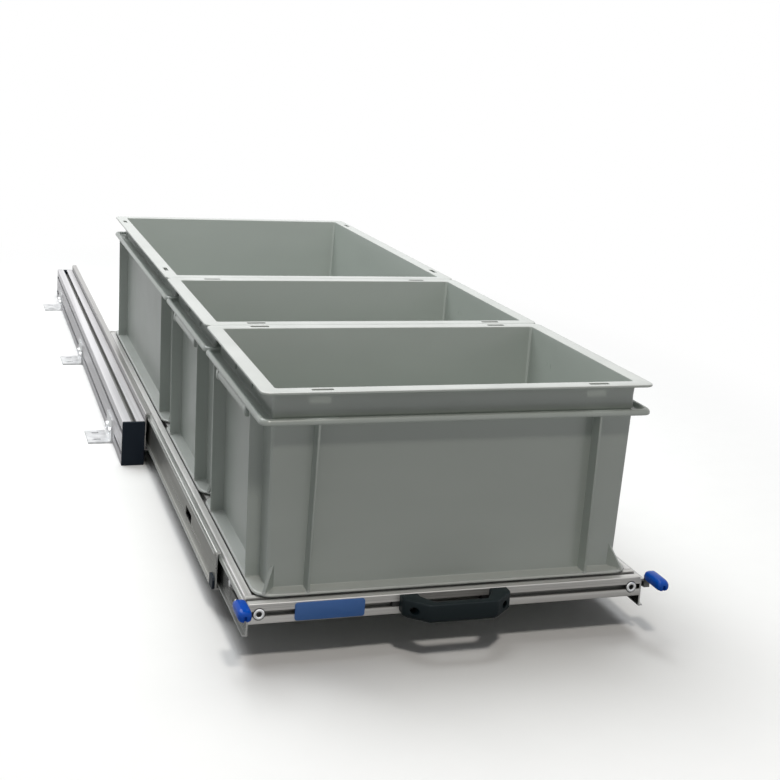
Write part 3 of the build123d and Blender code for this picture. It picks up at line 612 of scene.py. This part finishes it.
class BinShape:
    """One stacking bin: its outer half sizes, its levels, its middle, and where its walls lie."""

    def __init__(self, node, rim, grips_on_x):
        low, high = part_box(node)
        self.middle = (Vector(low) + Vector(high)) / 2
        self.half_x = to_mm(high[0] - low[0]) / 2
        self.half_y = to_mm(high[1] - low[1]) / 2
        self.low = to_mm(low[2])
        self.top = to_mm(high[2])
        self.collar = self.top - COLLAR_H
        self.tray = self.low + FOOT_DROP
        self.base = self.tray + BASE_T
        self.rim = rim
        self.grips_on_x = grips_on_x

    def inner(self, z):
        return self.rim + WALL_LEAN * (1 - (z - self.low) / BIN_H)

    def outer(self, z):
        return self.inner(z) - SKIN

    def at(self, x, y, z):
        return Vector((self.middle.x + mm(x), self.middle.y + mm(y), mm(z)))

    def ring(self, inset, z, radius):
        points = rounded_rectangle(self.half_x - inset, self.half_y - inset, radius)
        return [self.at(x, y, z) for x, y in points]


def stretch(wall, level, radius, steps):
    """Rings of one stretch of a bin's section, from a wall or edge at a level."""
    return [(wall + inset, level + rise, radius + added) for inset, rise, added in steps]


def shell_rings(b):
    """The bin's section, from its inner floor over the rim and down to its foot."""
    floor, under, ledge = b.low + FLOOR_T, b.top - FLANGE_T, b.collar + ROLL_DROP
    rings = stretch(b.inner(floor), floor, INNER_R, FLOOR_ROUND)
    rings.append((b.inner(b.top - RIM_START), b.top - RIM_START, INNER_R))
    rings += stretch(b.inner(b.top), b.top, INNER_R, RIM_INSIDE)
    rings += stretch(0.0, b.top, FLANGE_R, FLANGE_TOP)
    rings += stretch(0.0, under, FLANGE_R, FLANGE_UNDER)
    rings += stretch(b.outer(under), under, OUTER_R, NECK_TOP)
    rings.append((b.outer(under - NECK_H), under - NECK_H, OUTER_R))
    rings += [(b.outer(ledge) - flare, ledge + rise, OUTER_R) for flare, rise in WALL_FLARE]
    rings += [(inset, ledge + rise, FLANGE_R - inset / 2) for inset, rise in LEDGE_ROLL]
    rings += stretch(b.outer(b.collar), b.collar, OUTER_R, LEDGE_UNDER)
    rings += stretch(b.outer(b.base), b.base, OUTER_R, BASE_TOP)
    rings += stretch(BASE_INSET, b.base, BASE_R, BASE_EDGE)
    rings += stretch(BASE_INSET, b.tray + BASE_GAP, BASE_R, BASE_UNDER)
    rings += stretch(BASE_INSET, b.tray, BASE_R, FOOT_TOP)
    rings.append((b.outer(b.tray), b.tray, OUTER_R))
    rings += stretch(b.outer(b.low), b.low, OUTER_R, FOOT_ROUND)
    return rings


def slot_cutters(b):
    """Slots through the top flange, near the ends of two opposite rims."""
    cutters = []
    middle = b.rim / 2
    for side in (-1, 1):
        for end in (-1, 1):
            if b.grips_on_x:
                x, y = end * (b.half_x - SLOT_FROM_END), side * (b.half_y - middle)
                halves = (SLOT_HALF_L, SLOT_HALF_W)
            else:
                x, y = side * (b.half_x - middle), end * (b.half_y - SLOT_FROM_END)
                halves = (SLOT_HALF_W, SLOT_HALF_L)
            outline = rounded_rectangle(*halves, SLOT_R, steps=4)
            work = bmesh.new()
            closed_loft(work, [[b.at(x + p, y + q, z) for p, q in outline]
                               for z in (b.top - 2 * FLANGE_T, b.top + FLANGE_T)])
            cutters.append(to_mesh(work, "slot"))
    return cutters


def add_rib(work, b, on_x, side, along):
    """A deep thin rib from the base to the ledge, at one depth all the way up."""
    low, high = b.base - RIB_SUNK, b.collar + RIB_SUNK
    half_size = b.half_x if on_x else b.half_y
    rings = []
    for z, half in ((low, RIB_HALF + RIB_SPREAD), (low + RIB_FOOT_H, RIB_HALF),
                    (high - RIB_HEAD_H, RIB_HALF), (high, RIB_HALF + RIB_SPREAD)):
        root = half_size - b.inner(z) + RIB_SUNK
        reach = half_size - b.outer(z) + RIB_DEPTH
        outline = [(root, -half - RIB_SPREAD), (reach - RIB_ROUND, -half), (reach, -half + RIB_ROUND),
                   (reach, half - RIB_ROUND), (reach - RIB_ROUND, half), (root, half + RIB_SPREAD)]
        if on_x:
            rings.append([b.at(side * p, along + q, z) for p, q in outline])
        else:
            rings.append([b.at(along + q, side * p, z) for p, q in outline])
    closed_loft(work, rings)


def add_fin(work, b, sx, sy):
    """The small slanted web between each corner and the base."""
    outline = [(1.0, b.base + FIN_H), (FIN_INTO_WALL, b.base + FIN_H),
               (FIN_INTO_WALL, b.base - FIN_UNDER), (0.0, b.base - FIN_UNDER), (0.0, b.base - FIN_LIP)]
    along_x, along_y = (root - tip for tip, root in zip(FIN_TIP, FIN_ROOT))
    across = Vector((sx * along_y, -sy * along_x, 0)).normalized()
    rings = []
    for shift in (-FIN_HALF, FIN_HALF):
        rings.append([b.at(sx * (b.half_x - FIN_TIP[0] - share * along_x),
                           sy * (b.half_y - FIN_TIP[1] - share * along_y), z) + across * mm(shift)
                      for share, z in outline])
    closed_loft(work, rings)


def add_grip(work, b, side):
    """The hand grip: a bar under the ledge with a thicker rounded block at each end."""
    half = b.half_x if b.grips_on_x else b.half_y

    def ring(section, along, shrink=0.0):
        points = []
        for inset, z in section:
            out = side * (half - inset - shrink)
            place = (out, along) if b.grips_on_x else (along, out)
            points.append(b.at(*place, b.collar + z + (shrink if z < 0 else 0)))
        return points

    bar_end = GRIP_HALF - GRIP_BAR_SHORT
    closed_loft(work, [ring(GRIP_BAR, -bar_end), ring(GRIP_BAR, bar_end)])
    for start, end in ((-GRIP_HALF, -GRIP_HALF + GRIP_END), (GRIP_HALF - GRIP_END, GRIP_HALF)):
        rings = [ring(GRIP_BLOCK, start + along, shrink) for along, shrink in GRIP_BLOCK_ROUND]
        rings += [ring(GRIP_BLOCK, end - along, shrink) for along, shrink in reversed(GRIP_BLOCK_ROUND)]
        closed_loft(work, rings)


def add_ticks(work, b, side):
    """Two thin upright ribs on the wall between the ledge and the rim."""
    low, high = b.collar + TICK_CLEAR, b.top - TICK_CLEAR
    x0, x1 = sorted((side * (b.half_x - b.outer(low) - TICK_SUNK),
                     side * (b.half_x - b.outer(high) + TICK_PROUD)))
    for y in (-TICK_Y, TICK_Y):
        add_block(work, b.at(x0, y - TICK_HALF, low), b.at(x1, y + TICK_HALF, high), mm(TICK_ROUND))


def make_bin(node, rim, grips_on_x):
    """The side ribs are placed from the end of the bin's cell, CELL_PLAY past the bin itself."""
    b = BinShape(node, rim, grips_on_x)
    side_rib = b.half_y + CELL_PLAY - SIDE_RIB_FROM_END
    work = bmesh.new()
    closed_loft(work, [b.ring(*ring) for ring in shell_rings(b)])
    work = cut(to_mesh(work, node), slot_cutters(b))
    for side in (-1, 1):
        for x in (-RIB_X, RIB_X):
            add_rib(work, b, False, side, x)
        for y in (-side_rib, side_rib):
            add_rib(work, b, True, side, y)
        for end in (-1, 1):
            add_fin(work, b, side, end)
        add_grip(work, b, side)
        if b.grips_on_x:
            add_ticks(work, b, side)
    piece = new_piece(node + "_shell", to_mesh(work, node), bin_plastic, node, node)


for bin_name, rim_width, side_grips in BINS:
    make_bin(bin_name, rim_width, side_grips)


# Pull handle: outer and inner lines of one half, seen from above
HANDLE_OUTER = ((83.0, 0.0), (83.0, -14.0), (52.0, -41.0))
HANDLE_INNER = ((55.0, 0.0), (55.0, -9.0), (40.0, -30.0))
HANDLE_ROUND = 4.0
HANDLE_ROUND_STEPS = 4
HANDLE_EDGE = 2.2
HANDLE_UNDER = 7.0
HANDLE_SCREW_X = 69.0
SEAT_DEPTH = 8.0
RECESS_R, RECESS_L = 5.6, 60.0
BORE_R, BORE_L = 3.1, 30.0
BORE_BEHIND = 10.0
FORWARD = (0, -1, 0)


def whole_line(half):
    """Both halves of a symmetric line, with every corner but the ends rounded."""
    points = [Vector(p) for p in half] + [Vector((-x, y)) for x, y in reversed(half)]
    line = [points[0]]
    for before, corner, after in zip(points, points[1:], points[2:]):
        start = corner + (before - corner).normalized() * HANDLE_ROUND
        end = corner + (after - corner).normalized() * HANDLE_ROUND
        for step in range(HANDLE_ROUND_STEPS + 1):
            t = step / HANDLE_ROUND_STEPS
            line.append(start * (1 - t) ** 2 + corner * 2 * t * (1 - t) + end * t ** 2)
    return line + [points[-1]]


def handle_section(width, height):
    """Section across the handle: (out, up), rounded, most of all under the front."""
    corners = ((width, height, HANDLE_EDGE, 0), (0, height, HANDLE_EDGE, 90),
               (0, 0, HANDLE_EDGE, 180), (width, 0, HANDLE_UNDER, 270))
    points = []
    for out, up, radius, start in corners:
        centre = (out + (radius if out == 0 else -radius), up + (radius if up == 0 else -radius))
        points += quarter_round(centre, radius, start)
    return points


def handle_rings(low, high):
    """Sections along the handle, each square to its width, from one foot to the other."""
    rings = []
    for outer, inner in zip(whole_line(HANDLE_OUTER), whole_line(HANDLE_INNER)):
        across = outer - inner
        ring = []
        for out, up in handle_section(across.length, to_mm(high[2] - low[2])):
            plan = inner + across.normalized() * out
            ring.append(Vector((mm(plan.x), high[1] + mm(plan.y), low[2] + mm(up))))
        rings.append(ring)
    return rings


def make_handle():
    low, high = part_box("pull_handle")
    work = bmesh.new()
    closed_loft(work, handle_rings(low, high))
    holes = []
    middle_z = (low[2] + high[2]) / 2
    for side in (-1, 1):
        x = mm(side * HANDLE_SCREW_X)
        seat, behind = (x, high[1] - mm(SEAT_DEPTH), middle_z), (x, high[1] + mm(BORE_BEHIND), middle_z)
        holes.append(round_bar("recess", seat, FORWARD, mm(RECESS_R), mm(RECESS_L)))
        holes.append(round_bar("bore", behind, FORWARD, mm(BORE_R), mm(BORE_L)))
    work = cut(to_mesh(work, "handle"), holes)
    mesh = to_mesh(work, "handle", smooth_below=35)
    piece = new_piece("handle_grip", mesh, handle_plastic, "tray", "pull_handle")


make_handle()


# Lever grips: a dipped plastic tongue over the end of the steel strip
# Sections from root to tip: (share of the length, width, height, how far it has dropped)
LEVER_SECTIONS = (
    (0.0, 0.70, 0.66, 0.0), (0.02, 0.90, 0.88, 0.0), (0.06, 0.98, 0.97, 0.0), (0.2, 1.0, 1.0, 0.0),
    (0.7, 1.0, 1.0, 0.0), (0.84, 0.97, 0.95, 0.3), (0.93, 0.86, 0.82, 0.6), (0.98, 0.68, 0.62, 0.9),
    (1.0, 0.42, 0.36, 1.0),
)
LEVER_WIDER, LEVER_TALLER = 1.45, 1.2
LEVER_UP, LEVER_OUT, LEVER_BACK = 3.6, 1.2, 4.0
LEVER_DROP = 1.2
NOTCH_HALF = 1.9
NOTCH_L = 8.5
NOTCH_TOP = 1.5
NOTCH_PAST, NOTCH_BELOW = 2.0, 6.0
NOTCH_ROUND = 0.6


def rounded_section(half_x, half_z, power=2.7, count=32):
    """A superellipse, between an ellipse and a rectangle."""
    points = []
    for i in range(count):
        angle = 2 * math.pi * i / count
        c, s = math.cos(angle), math.sin(angle)
        points.append((half_x * math.copysign(abs(c) ** (2 / power), c),
                       half_z * math.copysign(abs(s) ** (2 / power), s)))
    return points


def make_lever_grip(side):
    node, body = "lever_grip_" + side, "lever_" + side
    low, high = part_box(node)
    half_x = LEVER_WIDER * (high[0] - low[0]) / 2
    half_z = LEVER_TALLER * (high[2] - low[2]) / 2
    outward = math.copysign(1, low[0])
    mid_x = (high[0] + low[0]) / 2 + outward * mm(LEVER_OUT)
    mid_z = (high[2] + low[2]) / 2 + mm(LEVER_UP)
    rings = []
    for share, wide, tall, drop in LEVER_SECTIONS:
        y = high[1] + mm(LEVER_BACK) * (1 - share) + (low[1] - high[1]) * share
        rings.append([(mid_x + x, y, mid_z - mm(LEVER_DROP) * drop + z)
                      for x, z in rounded_section(half_x * wide, half_z * tall)])
    work = bmesh.new()
    closed_loft(work, rings)
    notch = bmesh.new()
    add_block(notch, (mid_x - mm(NOTCH_HALF), low[1] - mm(NOTCH_PAST), low[2] - mm(NOTCH_BELOW)),
              (mid_x + mm(NOTCH_HALF), low[1] + mm(NOTCH_L), mid_z + mm(NOTCH_TOP)), mm(NOTCH_ROUND))
    work = cut(to_mesh(work, node), [to_mesh(notch, "notch")])
    mesh = to_mesh(work, node, smooth_below=50)
    piece = new_piece(node + "_tongue", mesh, lever_plastic, body, node)


for hand in ("left", "right"):
    make_lever_grip(hand)


# Corner fasteners on the front and rear bars: a bright washer round a dark sunk screw head
# Each profile is (radius, height above the bar)
HEX_R = 2.6
WASHER = ((4.0, 0.3), (4.0, 1.3), (4.6, 1.8), (7.0, 1.8), (7.8, 1.2), (8.0, 0.3))
SCREW_HEAD = ((0.0, -3.0), (HEX_R, -3.0), (HEX_R, 0.5), (2.9, 0.8), (3.5, 0.8), (3.9, 0.4),
              (3.9, -6.0), (3.4, -6.2), (3.4, -30.0), (0.0, -30.0))
# Dark ring just outside the washer's edge: painted shade where the washer meets the bar
SHADE_RING = ((4.0, 0.05), (8.2, 0.05), (8.9, 0.3), (8.9, 0.5), (8.2, 0.7), (4.0, 0.7))


def make_corner_fasteners():
    washers, screws = bmesh.new(), bmesh.new()
    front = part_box("tray_bar_front")[0][1]
    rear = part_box("tray_bar_rear")[1][1]
    for y, outward in ((front, -1), (rear, 1)):
        for side in (-1, 1):
            centre, axis = (side * RAIL_X, y, BAR_Z), (0, outward, 0)
            turned(washers, centre, axis, WASHER)
            turned(screws, centre, axis, SCREW_HEAD, six_sided_to=HEX_R)
            # The ring of painted shade under the washer, in the screws' dark steel
            turned(screws, centre, axis, SHADE_RING)
    piece = new_piece("corner_washers", to_mesh(washers, "washers"), zinc, "tray", "corner_discs")
    piece = new_piece("corner_heads_and_shade_rings", to_mesh(screws, "heads"), screw_steel, "tray", "corner_screws")


make_corner_fasteners()


# Blue plate: (inset, depth) over its rounded front edge
PLATE_EDGE = ((0.0, 0.5), (0.15, 0.2), (0.5, 0.0))
PLATE_R = 4.2


def make_plate():
    low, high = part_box("name_plate")
    half_x, half_z = (high[0] - low[0]) / 2, (high[2] - low[2]) / 2
    mid_x, mid_z = (high[0] + low[0]) / 2, (high[2] + low[2]) / 2
    levels = [(0.0, high[1])] + [(inset, low[1] + mm(depth)) for inset, depth in PLATE_EDGE]
    rings = []
    for inset, y in levels:
        outline = rounded_rectangle(half_x - mm(inset), half_z - mm(inset), mm(PLATE_R), steps=6)
        rings.append([(mid_x + x, y, mid_z + z) for x, z in outline])
    work = bmesh.new()
    closed_loft(work, rings)
    piece = new_piece("plate_blank", to_mesh(work, "plate"), plate_plastic, "tray", "name_plate")


make_plate()


# Stage
FLOOR_SIZE = 60.0
FADE_FROM, FADE_TO = 0.85, 1.6
FADE_X, FADE_Y = 0.95, 1.45
FLOOR_SEEN, FLOOR_UNSEEN = 0.98, 0.42


def floor_material():
    """Pale paper: it shows the shadow near the object and turns plain white further out.
    Rays that light the object meet a darker floor than the camera does."""
    n = Nodes("floor")
    path = n.add("ShaderNodeLightPath")
    tone = n.spread(path.outputs["Is Camera Ray"], FLOOR_UNSEEN, FLOOR_SEEN, start=0, end=1)
    paper = n.spread(n.noise(scale=14.0), low=0.985, high=1.0)
    n.finish(n.maths("MULTIPLY", tone, paper), n.spread(n.noise(scale=6.0), low=0.85, high=0.95))
    radius = n.add("ShaderNodeVectorMath", operation="LENGTH")
    n.link(n.stretched((1 / FADE_X, 1 / FADE_Y, 1)), radius.inputs[0])
    fade = n.add("ShaderNodeMapRange", interpolation_type="SMOOTHSTEP")
    fade.inputs["From Min"].default_value = FADE_FROM
    fade.inputs["From Max"].default_value = FADE_TO
    n.link(radius.outputs["Value"], fade.inputs["Value"])
    seen = n.maths("MAXIMUM", path.outputs["Is Camera Ray"], path.outputs["Is Glossy Ray"])
    white = n.add("ShaderNodeEmission")
    mix = n.add("ShaderNodeMixShader")
    n.link(n.maths("MULTIPLY", fade.outputs["Result"], seen), mix.inputs["Fac"])
    n.link(n.shader.outputs["BSDF"], mix.inputs[1])
    n.link(white.outputs["Emission"], mix.inputs[2])
    n.link(mix.outputs["Shader"], n.tree.nodes["Material Output"].inputs["Surface"])
    return n.material


def make_stage():
    work = bmesh.new()
    bmesh.ops.create_grid(work, x_segments=1, y_segments=1, size=FLOOR_SIZE)
    mesh = bpy.data.meshes.new("floor")
    work.to_mesh(mesh)
    work.free()
    mesh.materials.append(floor_material())
    floor = bpy.data.objects.new("floor", mesh)
    bpy.context.scene.collection.objects.link(floor)


# Light: a wide soft lamp above, a small one above the front, and a world that is white to the camera
WORLD_LEVEL = 0.11
TOP_LAMP = {"place": (-0.5, 0.6, 3.4), "aim": (-0.2, 0.15, 0), "size": (2.8, 3.8),
            "power": 152.0, "tint": (0.98, 1.0, 1.0)}
FRONT_LAMP = {"place": (-0.28, -3.0, 3.28), "aim": (0, -1.1, 0.35), "size": (0.35, 0.35),
              "power": 35.0, "tint": (1.0, 0.95, 0.88)}


def add_lamp(name, place, aim, size, power, tint):
    data = bpy.data.lights.new(name, "AREA")
    data.shape = "RECTANGLE"
    data.size, data.size_y = size
    data.energy = power
    data.color = tint
    lamp = bpy.data.objects.new(name, data)
    lamp.location = place
    lamp.rotation_mode = "QUATERNION"
    lamp.rotation_quaternion = (Vector(aim) - Vector(place)).to_track_quat("-Z", "Y")
    bpy.context.scene.collection.objects.link(lamp)


def make_world():
    """White to the camera, to mirror-like gloss and through glass, and dim to all other rays."""
    world = bpy.data.worlds.new("world")
    bpy.context.scene.world = world
    world.use_nodes = True
    tree = world.node_tree
    background = tree.nodes["Background"]
    background.inputs["Color"].default_value = (1, 1, 1, 1)
    path = tree.nodes.new("ShaderNodeLightPath")
    total = path.outputs["Is Camera Ray"]
    for name in ("Is Glossy Ray", "Is Transmission Ray"):
        either = tree.nodes.new("ShaderNodeMath")
        either.operation = "MAXIMUM"
        tree.links.new(total, either.inputs[0])
        tree.links.new(path.outputs[name], either.inputs[1])
        total = either.outputs[0]
    level = tree.nodes.new("ShaderNodeMapRange")
    level.inputs["To Min"].default_value = WORLD_LEVEL
    level.inputs["To Max"].default_value = 1.0
    tree.links.new(total, level.inputs["Value"])
    tree.links.new(level.outputs["Result"], background.inputs["Strength"])


make_stage()
make_world()
add_lamp("top", **TOP_LAMP)
add_lamp("front", **FRONT_LAMP)
bpy.context.scene.view_settings.view_transform = "Standard"
